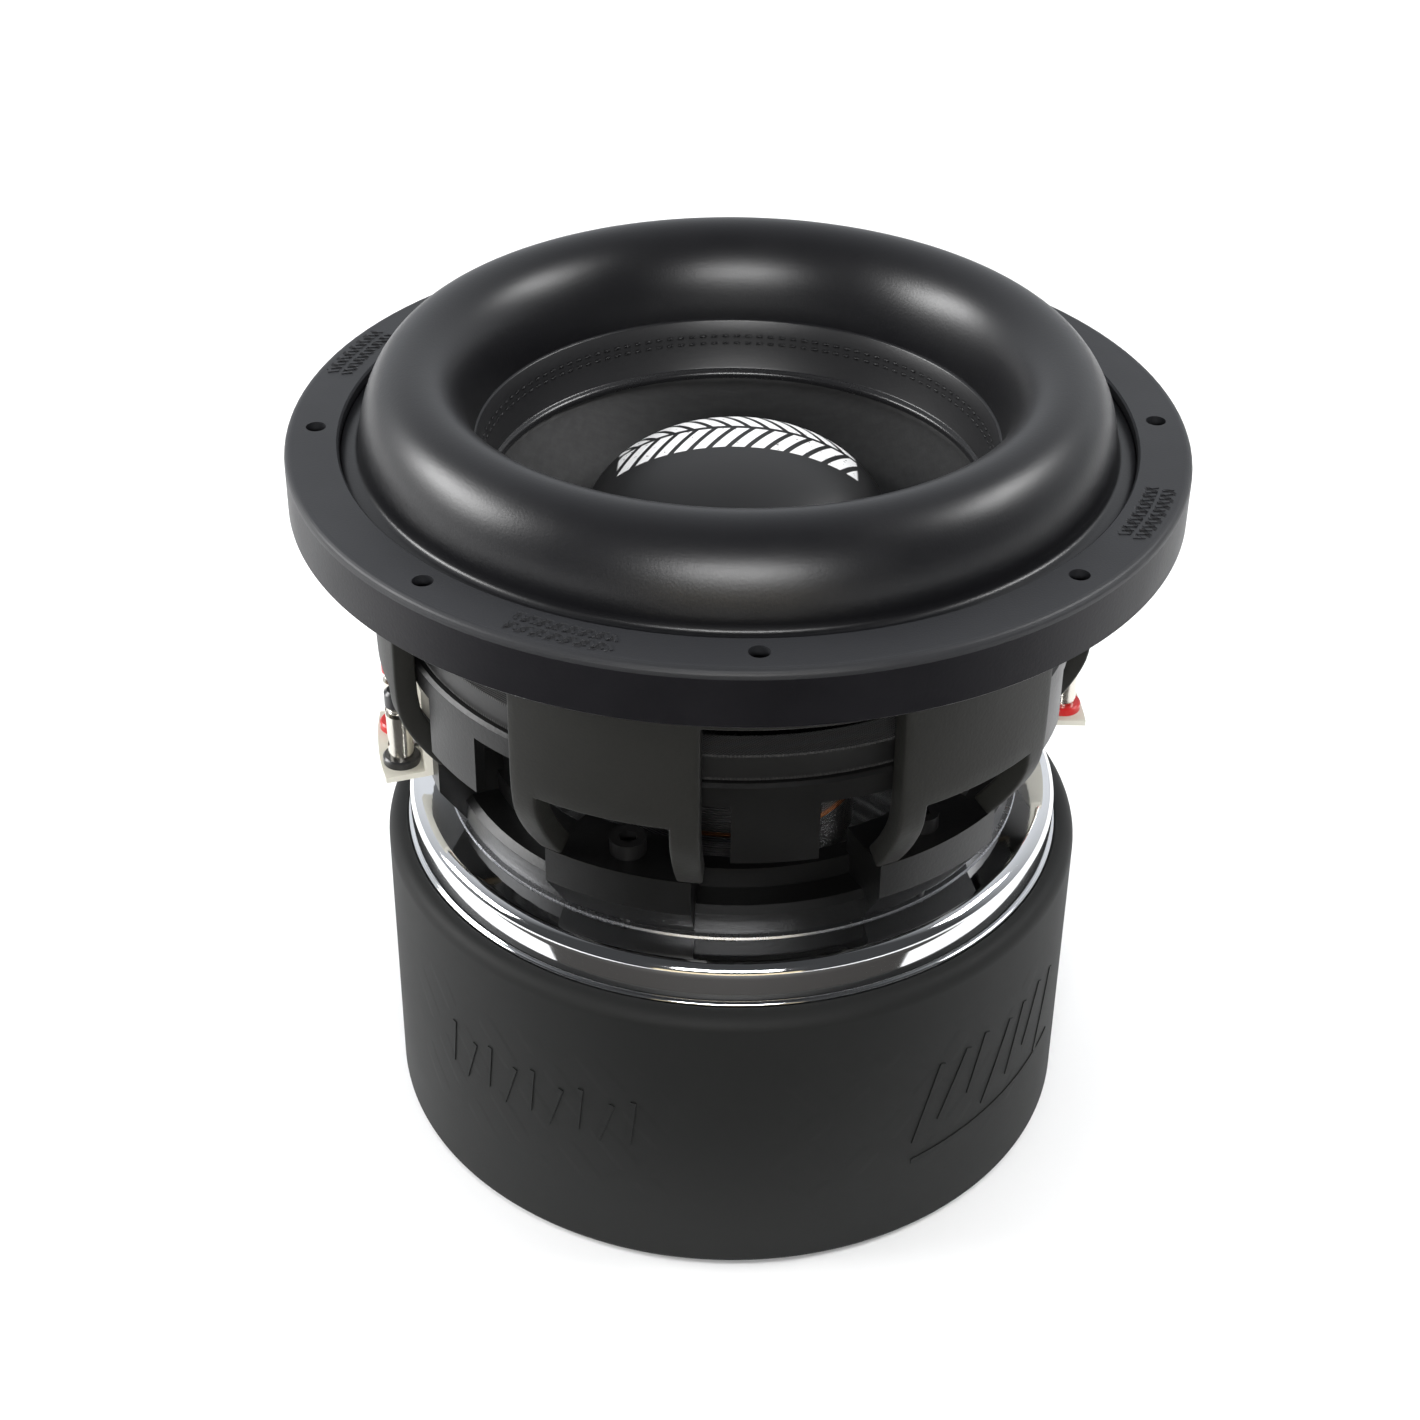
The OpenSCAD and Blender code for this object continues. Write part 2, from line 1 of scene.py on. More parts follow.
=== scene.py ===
# %% [markdown]
# A long-throw car subwoofer. The frame that is loaded here holds its real sizes, its moving
# bodies and its joints. This lesson gives it the shapes and finishes that a maker would see:
# a rubber half roll, a paper cone, a cast basket, a mirror-polished plate and a moulded boot.

# %% Load the frame and keep its box
import math

import bmesh
import bpy
from mathutils import Matrix, Vector


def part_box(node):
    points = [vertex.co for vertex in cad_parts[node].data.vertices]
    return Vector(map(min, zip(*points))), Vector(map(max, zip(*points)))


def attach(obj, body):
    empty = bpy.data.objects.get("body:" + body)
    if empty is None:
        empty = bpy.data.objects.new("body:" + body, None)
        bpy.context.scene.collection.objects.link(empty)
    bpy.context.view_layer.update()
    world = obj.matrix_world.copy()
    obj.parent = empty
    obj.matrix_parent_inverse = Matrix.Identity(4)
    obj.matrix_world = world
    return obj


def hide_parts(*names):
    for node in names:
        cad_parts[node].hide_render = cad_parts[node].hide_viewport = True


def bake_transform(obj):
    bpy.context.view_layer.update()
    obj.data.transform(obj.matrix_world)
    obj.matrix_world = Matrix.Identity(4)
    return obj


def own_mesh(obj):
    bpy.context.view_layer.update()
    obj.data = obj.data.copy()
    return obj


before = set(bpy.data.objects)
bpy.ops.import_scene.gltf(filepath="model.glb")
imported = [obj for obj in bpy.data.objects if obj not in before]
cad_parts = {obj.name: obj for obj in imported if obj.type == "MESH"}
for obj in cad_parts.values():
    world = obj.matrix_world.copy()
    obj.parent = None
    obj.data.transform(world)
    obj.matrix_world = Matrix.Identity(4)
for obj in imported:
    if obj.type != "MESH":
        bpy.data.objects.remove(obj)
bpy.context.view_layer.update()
MM = 0.001

# %% [markdown]
# Every size is read from the frame, so the pieces made here sit where the real ones do.
# Only walls and radii that the boxes can't tell are written down, in millimetres.

# %% Read the driving sizes
def low_of(node):
    return Vector(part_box(node)[0])


def high_of(node):
    return Vector(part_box(node)[1])


face_z = high_of("gasket").z
seat_z = low_of("gasket").z
flange_r = high_of("gasket").x
flange_low = seat_z - 15.3 * MM
bolt_circle_r = 126 * MM
cage_r = high_of("basket_shelf").x + 7 * MM
shelf_z = high_of("basket_shelf").z
foot_z = high_of("basket_base_ring").z
roll_foot = 5.4 * MM
roll_out = high_of("surround").x - roll_foot
roll_in = roll_out - 34 * MM
roll_high = high_of("surround").z - seat_z
apron_low_r = roll_in - 3.6 * MM
apron_low_z = seat_z - 20.2 * MM
former_r = high_of("coil_former").x
neck_z = high_of("coil_former").z - 1 * MM
cap_r = high_of("dust_cap").x
cap_top = high_of("dust_cap").z
plate_top = high_of("top_plate").z
plate_r = high_of("top_plate").x - 1 * MM
boot_r = high_of("motor_boot").x
boot_top = high_of("motor_boot").z
SPOKES = [40 + 60 * i for i in range(6)]
BOLTS = [3 + 45 * i for i in range(8)]
TERMINALS = {"right": 100, "left": 280}
print("face at", round(face_z, 4), "flange radius", round(flange_r, 4))

# %% [markdown]
# Most of a loudspeaker is turned round one axis. A half outline is drawn in the plane of
# radius and height and spun into a closed ring. A helper can round its sharp edges, as a
# moulding or a casting has, but no piece here asks for it. The angle is counted from the
# front, which is -Y.

# %% Helpers that turn outlines into pieces
def to_object(name, mesh, sharp=35):
    mesh.normal_update()
    data = bpy.data.meshes.new(name)
    mesh.to_mesh(data)
    mesh.free()
    data.shade_smooth()
    data.set_sharp_from_angle(angle=math.radians(sharp))
    piece = bpy.data.objects.new(name, data)
    bpy.context.scene.collection.objects.link(piece)
    return piece


def arc(centre_r, centre_z, width, height, start, end, steps=8):
    turns = [math.radians(start + (end - start) * i / steps) for i in range(steps + 1)]
    return [(centre_r + width * math.cos(t), centre_z + height * math.sin(t)) for t in turns]


def round_edges(mesh, width, segments=3, over=30):
    limit = math.radians(over)
    edges = [e for e in mesh.edges if len(e.link_faces) == 2 and e.calc_face_angle() > limit]
    bmesh.ops.bevel(mesh, geom=edges, offset=width, offset_type="OFFSET", segments=segments,
                    profile=0.5, affect="EDGES", material=-1, clamp_overlap=True)


def turned(outline, steps=240, closed=True):
    mesh = bmesh.new()
    points = [mesh.verts.new((r, 0, z)) for r, z in outline]
    ends = points[1:] + points[:1] if closed else points[1:]
    lines = [mesh.edges.new(pair) for pair in zip(points, ends)]
    bmesh.ops.spin(mesh, geom=points + lines, cent=(0, 0, 0), axis=(0, 0, 1), dvec=(0, 0, 0),
                   angle=math.tau, steps=steps, use_merge=True, use_duplicate=False)
    bmesh.ops.remove_doubles(mesh, verts=mesh.verts, dist=0.00001)
    bmesh.ops.recalc_face_normals(mesh, faces=mesh.faces)
    return mesh


def turned_piece(name, outline, body, nodes=(), edge=0.0, steps=240, sharp=35):
    mesh = turned(outline, steps)
    if edge:
        round_edges(mesh, edge)
    piece = to_object(name, mesh, sharp)
    settle(piece, body, nodes)
    return piece


def settle(piece, body, nodes=()):
    if body:
        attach(piece, body)
    if nodes:
        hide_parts(*nodes)
    print(piece.name, len(piece.data.polygons), "faces")


def place(angle, radius, height):
    turn = Matrix.Rotation(math.radians(angle), 4, "Z")
    return turn @ Matrix.Translation((0, -radius, height))


# %% [markdown]
# A finish is a tree of shader nodes. Writing the maths as plain expressions keeps it short:
# a Value wraps one socket, and adding or multiplying it adds a Math node. Any other node
# comes from one method, which sets its options and then its sockets.

# %% A small language for finishes
# Where a Mix node in colour mode has its sockets
MIX_SHARE, MIX_FIRST, MIX_SECOND, MIX_RESULT = 0, 6, 7, 2


class Value:
    def __init__(self, finish, socket):
        self.finish = finish
        self.socket = socket

    def math(self, operation, *others):
        sockets = dict(enumerate((self,) + others))
        return self.finish.node("ShaderNodeMath", {"operation": operation}, sockets)

    def __add__(self, other):
        return self.math("ADD", other)

    def __mul__(self, other):
        return self.math("MULTIPLY", other)

    def __sub__(self, other):
        return self.math("SUBTRACT", other)

    def __rsub__(self, other):
        return self.math("MULTIPLY", -1.0).math("ADD", other)

    __radd__ = __add__
    __rmul__ = __mul__

    def wave(self):
        return self.math("SINE")

    def size(self):
        return self.math("ABSOLUTE")

    def over(self, edge, soft):
        sockets = {"Value": self, "From Min": edge - soft, "From Max": edge + soft}
        return self.finish.node("ShaderNodeMapRange", {"clamp": True}, sockets)

    def between(self, low, high, soft):
        return self.over(low, soft) * (1 - self.over(high, soft))


class Finish:
    def __init__(self, name, colour, roughness, **fixed):
        self.material = bpy.data.materials.new(name)
        self.material.use_nodes = True
        self.tree = self.material.node_tree
        self.shader = self.tree.nodes["Principled BSDF"]
        self.material.diffuse_color = (*colour, 1)
        self.colour = colour
        self.shader.inputs["Base Color"].default_value = (*colour, 1)
        self.shader.inputs["Roughness"].default_value = roughness
        for label, number in fixed.items():
            self.shader.inputs[label.replace("_", " ")].default_value = number
        self.place = self.node("ShaderNodeTexCoord", {}, {}, "Object")
        split = self.node("ShaderNodeSeparateXYZ", {}, {"Vector": self.place}).socket.node
        self.x, self.y, self.z = (Value(self, split.outputs[i]) for i in range(3))

    def node(self, kind, settings, sockets, output=0):
        made = self.tree.nodes.new(kind)
        for label, setting in settings.items():
            setattr(made, label, setting)
        for label, given in sockets.items():
            self.join(given, made.inputs[label])
        return Value(self, made.outputs[output])

    def join(self, given, socket):
        if isinstance(given, Value):
            self.tree.links.new(given.socket, socket)
        elif isinstance(given, (tuple, list)) and len(socket.default_value) == 4:
            socket.default_value = (*given, 1) if len(given) == 3 else given
        else:
            socket.default_value = given

    def feed(self, label, given):
        self.join(given, self.shader.inputs[label])

    def noise(self, scale, detail=3.0, rough=0.5, where=None):
        sockets = {"Vector": where or self.place, "Scale": scale, "Detail": detail,
                   "Roughness": rough}
        return self.node("ShaderNodeTexNoise", {}, sockets)

    def mix(self, share, first, second):
        sockets = {MIX_SHARE: share, MIX_FIRST: first, MIX_SECOND: second}
        return self.node("ShaderNodeMix", {"data_type": "RGBA"}, sockets, MIX_RESULT)

    def scaled_place(self, x, y, z):
        return self.node("ShaderNodeVectorMath", {"operation": "MULTIPLY"},
                         {0: self.place, 1: (x, y, z)})

    def angle(self):
        return self.x.math("ARCTAN2", self.y * -1.0)

    def radius(self):
        return (self.x * self.x + self.y * self.y).math("SQRT")

    def bump(self, height, depth, strength=1.0):
        sockets = {"Height": height, "Distance": depth, "Strength": strength}
        self.feed("Normal", self.node("ShaderNodeBump", {}, sockets))

    def tint(self, share, other):
        self.feed("Base Color", self.mix(share, self.colour, other))


def dress(finish, *nodes):
    for name in nodes:
        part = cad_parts[name]
        if not part.material_slots:
            part.data.materials.append(finish.material)
        for holder in part.material_slots:
            holder.material = finish.material


def coat(piece, finish):
    piece.data.materials.clear()
    piece.data.materials.append(finish.material)


# %% [markdown]
# The basket is an aluminium casting under a matt black powder coat. Powder flows into a
# fine orange peel, and it dulls unevenly, so the roughness wanders a little too.

# %% Black casting
casting = Finish("black_casting", (0.0095, 0.0095, 0.0080), 0.5, Specular_IOR_Level=0.28)
peel = casting.noise(900, 2.0)
cloud = casting.noise(28, 4.0)
casting.feed("Roughness", 0.42 + 0.2 * cloud + 0.06 * peel)
casting.tint(cloud.over(0.45, 0.25) * 0.6, (0.0135, 0.0132, 0.0112))
casting.bump(peel + 0.5 * casting.noise(260, 2.0), 0.00012, 0.5)

# %% [markdown]
# The gasket is a satin moulded ring. Three patches of slanted grooves on it are rougher, and
# the grooves are painted darker as shade; they are worked out from the angle and the radius.
# The slanted bars that stand on them are made further down.

# %% Gasket rubber
gasket_finish = Finish("gasket_rubber", (0.0150, 0.0155, 0.0175), 0.42, Specular_IOR_Level=0.4)
turn = gasket_finish.angle()
reach = gasket_finish.radius()
ribs = (turn * 190.0 + reach * 900.0).wave().over(0.1, 0.25)
band = reach.between(0.1225, 0.1315, 0.0003)
row_gap = 1 - (reach - 0.127).size().between(-0.001, 0.0007, 0.0002)
patches = 0.0
for middle in (-21, 67, -110):
    patches = patches + (turn - math.radians(middle)).size().between(-1, 0.115, 0.003)
relief = ribs * band * row_gap * patches
grain = gasket_finish.noise(1500, 2.0)
# Painted shade: the grooves of the three patches are darkened.
gasket_finish.tint(relief * 0.85, (0.006, 0.006, 0.007))
gasket_finish.feed("Roughness", 0.4 + 0.16 * gasket_finish.noise(40, 4.0) + 0.25 * relief)
gasket_finish.bump(grain * 0.12 - relief, 0.0004, 0.8)

# %% [markdown]
# The surround is one moulding of black rubbery foam: satin, with soft highlights and a very
# fine skin. Handling leaves slightly duller and slightly shinier clouds.

# %% Surround
roll_finish = Finish("surround_skin", (0.0040, 0.0040, 0.0050), 0.32, Specular_IOR_Level=0.5)
skin = roll_finish.noise(1300, 2.0)
handled = roll_finish.noise(22, 5.0, 0.6)
apron = (1 - roll_finish.z.over(0.2350, 0.0003)) * (1 - roll_finish.radius().over(0.090, 0.001))
ridge = 1 - roll_finish.z.over(0.2192, 0.0003)
roll_finish.feed("Roughness", 0.28 + 0.1 * handled + 0.05 * skin + 0.06 * apron - 0.16 * ridge)
shade = roll_finish.mix(handled.over(0.5, 0.2) * 0.7, roll_finish.colour, (0.0065, 0.0065, 0.0075))
dashes = (roll_finish.angle() * 132.0).wave().over(-0.2, 0.25)
first_row = (roll_finish.z - 0.2300).size().between(-1, 0.0006, 0.0002)
second_row = (roll_finish.z - 0.2276).size().between(-1, 0.0006, 0.0002)
sewn = (first_row + second_row) * dashes * apron
cloth_shade = roll_finish.mix(sewn, (0.0130, 0.0130, 0.0140), (0.001, 0.001, 0.001))
roll_finish.feed("Base Color", roll_finish.mix(apron, shade, cloth_shade))
roll_finish.bump(skin + 0.6 * roll_finish.noise(420, 2.0), 0.00005, 0.5)

# %% [markdown]
# The cone is pressed paper pulp, dyed black. Fibres lie in all directions, so two stretched
# noises cross each other in the relief. Round the dust cap a darker ring is painted in as
# the shade under the dome.

# %% Cone paper
paper = Finish("cone_paper", (0.0090, 0.0090, 0.0092), 0.5)
fibre = paper.noise(500, 3.0, 0.6, paper.scaled_place(1, 0.25, 1))
across = paper.noise(500, 3.0, 0.6, paper.scaled_place(0.25, 1, 1))
paper.feed("Roughness", 0.45 + 0.25 * fibre)
sheet = paper.mix(across.over(0.52, 0.12) * 0.6, paper.colour, (0.0150, 0.0150, 0.0152))
# Painted shade: the cone is darkened within about 59 mm of the axis, round the dust cap.
painted_shade_near_cap = 1 - paper.radius().over(0.0590, 0.0012)
paper.feed("Base Color", paper.mix(painted_shade_near_cap, sheet, (0.004, 0.004, 0.004)))
paper.bump(fibre + across, 0.0002, 0.5)

# %% [markdown]
# The dust cap is a satin dome with a printed band of slanted white bars over its back half.
# The print is flat ink in a plain herringbone: it changes the colour and the gloss, and
# hardly the relief.

# %% Dust cap and its print
cap_finish = Finish("dust_cap_satin", (0.0110, 0.0110, 0.0115), 0.42, Specular_IOR_Level=0.5)
lean = cap_finish.y * 0.55
back_bars = ((cap_finish.x + lean) * (math.tau / 0.0058)).wave().over(-0.5, 0.12)
front_bars = ((cap_finish.x - lean) * (math.tau / 0.0058)).wave().over(-0.5, 0.12)
back_row = cap_finish.y.between(0.0130, 0.0275, 0.0002)
front_row = cap_finish.y.between(-0.0025, 0.0108, 0.0002)
wide = 1 - (cap_finish.x.size()).over(0.0365, 0.0003)
ink = (back_row * back_bars + front_row * front_bars) * wide
ink = ink * cap_finish.noise(700, 2.0).over(0.3, 0.05)
cap_finish.tint(ink, (0.80, 0.80, 0.80))
cap_finish.feed("Roughness", 0.38 + 0.12 * cap_finish.noise(30, 4.0) + 0.12 * ink)
cap_finish.bump(cap_finish.noise(1200, 2.0) * 0.3 + ink * 0.5, 0.00008, 0.6)

# %% [markdown]
# The top plate is turned steel, ground and chromed to a mirror. What tells it from plastic
# foil are the faint rings left by polishing and the smudges of handling.

# %% Mirror plate
mirror = Finish("polished_plate", (0.86, 0.87, 0.89), 0.06, Metallic=1.0)
rings = (mirror.radius() * 9000.0 + mirror.noise(20, 2.0) * 6.0).wave()
smudge = mirror.noise(35, 5.0, 0.6).over(0.5, 0.2)
mirror.feed("Roughness", 0.035 + 0.07 * smudge)
mirror.tint(smudge * 0.4, (0.78, 0.78, 0.78))
mirror.bump(rings * 0.03 + mirror.noise(60, 3.0) * 1.2, 0.00006, 0.25)

# %% [markdown]
# The boot is moulded rubber with a fine matt texture. Very faint strokes run round its side,
# an abstract pattern in the rubber's own colour. Its raised bars are made further down.

# %% Boot rubber
boot_finish = Finish("boot_rubber", (0.0065, 0.0069, 0.0067), 0.55, Specular_IOR_Level=0.25)
turn = boot_finish.angle()
texture = boot_finish.noise(1400, 3.0, 0.6)
wear = boot_finish.noise(14, 5.0, 0.6)
drift = boot_finish.noise(30, 2.0) * 1.6
strokes = (turn * 34.0 + boot_finish.z * 260.0 + drift).wave().over(0.25, 0.3)
cross_strokes = (turn * 21.0 - boot_finish.z * 190.0 + drift).wave().over(0.62, 0.2)
belt = boot_finish.z.between(0.028, 0.078, 0.003)
marked = turn.size().between(0.15, 1.05, 0.05) + turn.size().over(2.2, 0.05)
raised = (strokes.math("MAXIMUM", cross_strokes)) * belt * marked
boot_finish.feed("Roughness", 0.5 + 0.2 * wear + 0.05 * texture)
boot_finish.tint(wear.over(0.5, 0.25) * 0.6, (0.0090, 0.0095, 0.0090))
boot_finish.bump(texture * 0.10 + raised * 0.3, 0.0005, 0.45)

# %% [markdown]
# The smaller finishes follow the same pattern: one base, one fine relief, one slow wander.
# Copper wire shows its turns, cloth shows its weave, ferrite its grinding. The part of the
# coil that stands out of the gap at rest is coloured near black and is not metallic.

# %% Finishes inside the motor and on the terminals
def plain(name, colour, roughness, second, scale, relief, **fixed):
    made = Finish(name, colour, roughness, **fixed)
    fine = made.noise(scale, 3.0, 0.6)
    slow = made.noise(scale / 20, 4.0)
    made.tint(slow.over(0.5, 0.2) * 0.7, second)
    made.feed("Roughness", roughness - 0.08 + 0.12 * slow + 0.06 * fine)
    made.bump(fine, relief, 0.5)
    return made


ferrite = plain("ground_ferrite", (0.045, 0.045, 0.047), 0.5, (0.06, 0.06, 0.06), 700, 0.0001)
zinc = plain("zinc_plate", (0.40, 0.40, 0.41), 0.38, (0.48, 0.47, 0.44), 500, 0.00005, Metallic=1.0)
oxide = plain("black_oxide", (0.012, 0.012, 0.013), 0.42, (0.02, 0.019, 0.018), 900, 0.00005,
              Metallic=0.6)
nickel = plain("nickel_plate", (0.72, 0.69, 0.62), 0.2, (0.62, 0.6, 0.55), 900, 0.00003,
               Metallic=1.0)
ivory = plain("ivory_plastic", (0.62, 0.60, 0.52), 0.42, (0.56, 0.54, 0.46), 600, 0.00004)
red_cap = plain("red_plastic", (0.55, 0.012, 0.012), 0.3, (0.42, 0.01, 0.01), 700, 0.00003)
black_cap = plain("black_plastic", (0.014, 0.014, 0.015), 0.3, (0.02, 0.02, 0.02), 700, 0.00003)
spacer_finish = plain("spacer_plastic", (0.004, 0.004, 0.004), 0.4, (0.008, 0.008, 0.008), 600,
                      0.00005)
foil = plain("black_foil", (0.03, 0.03, 0.032), 0.35, (0.045, 0.045, 0.05), 500, 0.00004,
             Metallic=0.5)

# Painted shade: the shelf and base ring are the same black casting as the cage, made darker to
# stand for the shade inside the basket.
shade_darkened_casting = plain("inner_casting_painted_shade", (0.0025, 0.0025, 0.0025), 0.36, (0.005, 0.005, 0.005), 800, 0.00012,
              Specular_IOR_Level=0.35)
flange_paint = plain("flange_paint", (0.0042, 0.0040, 0.0055), 0.42, (0.0065, 0.0062, 0.0080),
                     900, 0.0001, Specular_IOR_Level=0.2)
bare_edge = plain("machined_edge", (0.62, 0.63, 0.65), 0.25, (0.5, 0.5, 0.52), 900, 0.00003,
                  Metallic=1.0)

winding = Finish("enamelled_copper", (0.20, 0.07, 0.025), 0.3, Metallic=1.0)
turns = (winding.z * (math.tau / 0.0009)).wave()
wire = winding.mix(turns.over(-0.6, 0.3) * 0.5, winding.colour, (0.30, 0.12, 0.05))
# Above 115.5 mm the coil is coloured near black and is not metallic.
black_above_gap = winding.z.over(0.1155, 0.0002)
winding.feed("Base Color", winding.mix(black_above_gap, wire, (0.010, 0.009, 0.009)))
winding.feed("Metallic", 1 - black_above_gap)
winding.feed("Roughness", 0.24 + 0.1 * winding.noise(60, 3.0))
winding.bump(turns, 0.0003, 0.8)

cloth = Finish("spider_cloth", (0.008, 0.0078, 0.0078), 0.75, Sheen_Weight=0.12)
warp = (cloth.x * (math.tau / 0.0011)).wave()
weft = (cloth.y * (math.tau / 0.0011)).wave()
weave = warp * weft
cloth.tint(weave.over(0.0, 0.5) * 0.6, (0.018, 0.017, 0.016))
cloth.feed("Roughness", 0.66 + 0.16 * cloth.noise(80, 3.0))
cloth.bump(weave, 0.0002, 0.7)

thread = Finish("black_thread", (0.005, 0.005, 0.006), 0.6)
ply = ((thread.angle() * 75.0 + thread.z * 1200.0) * 6.0).wave()
thread.tint(ply.over(0.2, 0.4) * 0.6, (0.014, 0.014, 0.015))
thread.feed("Roughness", 0.45 + 0.15 * thread.noise(900, 2.0))
thread.bump(ply, 0.0001, 0.6)

braid = Finish("tinsel_braid", (0.42, 0.36, 0.27), 0.4, Metallic=0.9)
strands = (braid.radius() * 5200.0 + braid.z * 3800.0).wave()
counter = (braid.radius() * 5200.0 - braid.z * 3800.0).wave()
braid.tint((strands * counter).over(0.0, 0.4) * 0.7, (0.36, 0.26, 0.14))
braid.feed("Roughness", 0.3 + 0.2 * braid.noise(400, 2.0))
braid.bump(strands * counter, 0.0003, 0.8)

print("finishes:", len(bpy.data.materials))

# %% [markdown]
# Pieces whose plain shape is right keep their solid from the frame and only get a finish:
# the magnets, the yoke, the gasket with its drilled holes and the small hardware.

# %% Dress the pieces that keep their solids
dress(gasket_finish, "gasket")
dress(shade_darkened_casting, "basket_shelf", "basket_base_ring")
dress(ferrite, "magnet_1", "magnet_2", "magnet_3", "magnet_4")
dress(zinc, "yoke", "terminal_screws")
dress(winding, "coil_winding", "pole_sleeve")
dress(foil, "coil_former", "coil_collar")
dress(spacer_finish, "spider_spacer")
dress(oxide, "basket_screws", "vent_screen")
dress(nickel, "terminal_posts_right", "terminal_posts_left")
dress(ivory, "terminal_base_right", "terminal_base_left")
for side in TERMINALS:
    dress(red_cap, f"push_button_{side}_red")
    dress(black_cap, f"push_button_{side}_black")

# %% [markdown]
# The surround is a tall half roll. Its outer foot is glued in the basket and its inner side
# runs down as an apron, sewn to the cone and closed by a small bead.

# %% Surround
def bend_with_cone(piece, still_r, moving_r):
    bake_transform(piece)
    for point in piece.data.vertices:
        share = (still_r - point.co.xy.length) / (still_r - moving_r)
        share = min(1.0, max(0.0, share))
        share * share * (3 - 2 * share)


wall = 1.8 * MM
roll_mid = (roll_out + roll_in) / 2
half = (roll_out - roll_in) / 2
bead = 1.7 * MM
ledge = 0.8 * MM
bead_r = apron_low_r + 0.9 * MM
outline = [(roll_out + roll_foot, seat_z - wall), (roll_out + roll_foot, seat_z - 0.4 * MM),
           (roll_out + 5.0 * MM, seat_z), (roll_out + 1.6 * MM, seat_z),
           (roll_out + 0.6 * MM, seat_z + 0.3 * MM)]
outline += arc(roll_mid, seat_z, half, roll_high, 3, 180, 48)
outline += [(roll_in - 0.5 * MM, seat_z - 0.15 * MM), (roll_in - ledge, seat_z - 0.6 * MM),
            (roll_in - ledge - 0.9 * MM, seat_z - 6 * MM),
            (bead_r, apron_low_z + 2 * bead + 0.5 * MM)]
outline += arc(bead_r, apron_low_z + bead, bead, bead, 100, 270, 10)
outline += [(apron_low_r + wall, apron_low_z), (roll_in + wall, seat_z)]
outline += arc(roll_mid, seat_z, half - wall, roll_high - wall, 177, 3, 40)
outline += [(roll_out - wall, seat_z - wall)]
surround_roll = turned_piece("surround_roll", outline, None, ["surround"],
                             sharp=50)
bend_with_cone(surround_roll, roll_out, roll_in)
coat(surround_roll, roll_finish)

# %% [markdown]
# Two double rows of lock stitches hold the apron to the cone. Each stitch is a small
# flattened bean, so hundreds of them stay light, and all of them go with the cone.

# %% Stitches in the apron
def apron_at(depth):
    share = depth / (seat_z - apron_low_z - 2 * bead)
    return roll_in - ledge - (roll_in - ledge - bead_r) * share - 0.2 * MM, seat_z - depth


stitch_mesh = bmesh.new()
for depth in (5.6 * MM, 8.0 * MM):
    radius, height = apron_at(depth)
    count = 132
    for i in range(count):
        angle = 360 * (i + 0.25) / count
        size = Matrix.Diagonal((1.15 * MM, 0.36 * MM, 0.45 * MM, 1))
        tilt = Matrix.Rotation(math.radians(8), 4, "Y")
        bmesh.ops.create_uvsphere(stitch_mesh, u_segments=8, v_segments=4, radius=1,
                                  matrix=place(angle, radius, height) @ tilt @ size)
stitches = to_object("apron_stitches", stitch_mesh, 80)
settle(stitches, "cone_assembly")
coat(stitches, thread)

# %% [markdown]
# The cone hangs from the apron's back and runs down to the coil in a slightly hollow curve.
# The dust cap is a dome that closes the coil, standing on a short upright wall.

# %% Cone and dust cap
rim_r, rim_z = apron_low_r + 2.1 * MM, apron_low_z - 0.3 * MM
rim_top = (rim_r + 3 * MM, seat_z - 4.2 * MM)
cone_wall = 1.5 * MM


def cone_line(count, drop):
    line = []
    for i in range(count + 1):
        share = i / count
        sag = 0.8 * MM * math.sin(math.pi * share)
        height = rim_z + (neck_z - rim_z) * share - sag - drop
        line.append((rim_r + (former_r - rim_r) * share, height))
    return line


outline = [rim_top, (rim_r + 0.2 * MM, rim_z + 0.5 * MM)] + cone_line(20, 0)
outline += list(reversed(cone_line(20, cone_wall)))
outline += [(rim_r + cone_wall, rim_z - 0.3 * MM), (rim_top[0] + cone_wall, rim_top[1])]
cone_shell = turned_piece("cone_shell", outline, "cone_assembly", ["cone"], sharp=40)
coat(cone_shell, paper)

cap_wall = 1.2 * MM
cap_foot = neck_z + (rim_z - neck_z) * (cap_r - former_r) / (rim_r - former_r) - 0.4 * MM
cap_side = cap_foot + 6.5 * MM
rise = cap_top - cap_side
outline = [(cap_r - cap_wall, cap_foot), (cap_r, cap_foot)]
outline += arc(0, cap_side, cap_r, rise, 0, 89.5, 40)
outline += arc(0, cap_side, cap_r - cap_wall, rise - cap_wall, 89.5, 0, 30)
dome_mesh = turned(outline)
holes = [e for e in dome_mesh.edges if len(e.link_faces) == 1]
bmesh.ops.holes_fill(dome_mesh, edges=holes, sides=0)
bmesh.ops.recalc_face_normals(dome_mesh, faces=dome_mesh.faces)
dome = to_object("dust_cap_dome", dome_mesh, 50)
settle(dome, "cone_assembly", ["dust_cap"])
coat(dome, cap_finish)

# %% [markdown]
# Both spiders are rings of stiffened cloth, pressed into waves. They centre the coil.

# %% Spiders
def spider_piece(name, node, flange_h, cup_r, plane):
    outer = high_of(node).x
    neck = former_r + 0.35 * MM
    cup_in = cup_r - 2.5 * MM
    waves = 6
    points = 96

    def pleats(offset):
        line = []
        for i in range(points + 1):
            share = i / points
            height = plane + 1.2 * MM * math.sin(math.tau * waves * share) + offset
            line.append((cup_in + (neck + 2 * MM - cup_in) * share, height))
        return line

    cloth_t = 0.8 * MM
    path = [(outer, flange_h), (outer, flange_h + cloth_t), (cup_r, flange_h + cloth_t)]
    path += pleats(cloth_t / 2) + [(neck, plane + cloth_t / 2), (neck, plane - cloth_t / 2)]
    path += list(reversed(pleats(-cloth_t / 2)))
    path += [(cup_in + cloth_t, plane - cloth_t / 2), (cup_r + cloth_t, flange_h)]
    piece = turned_piece(name, path, None, [node], steps=160, sharp=60)
    bend_with_cone(piece, cup_r, neck + 3 * MM)
    coat(piece, cloth)


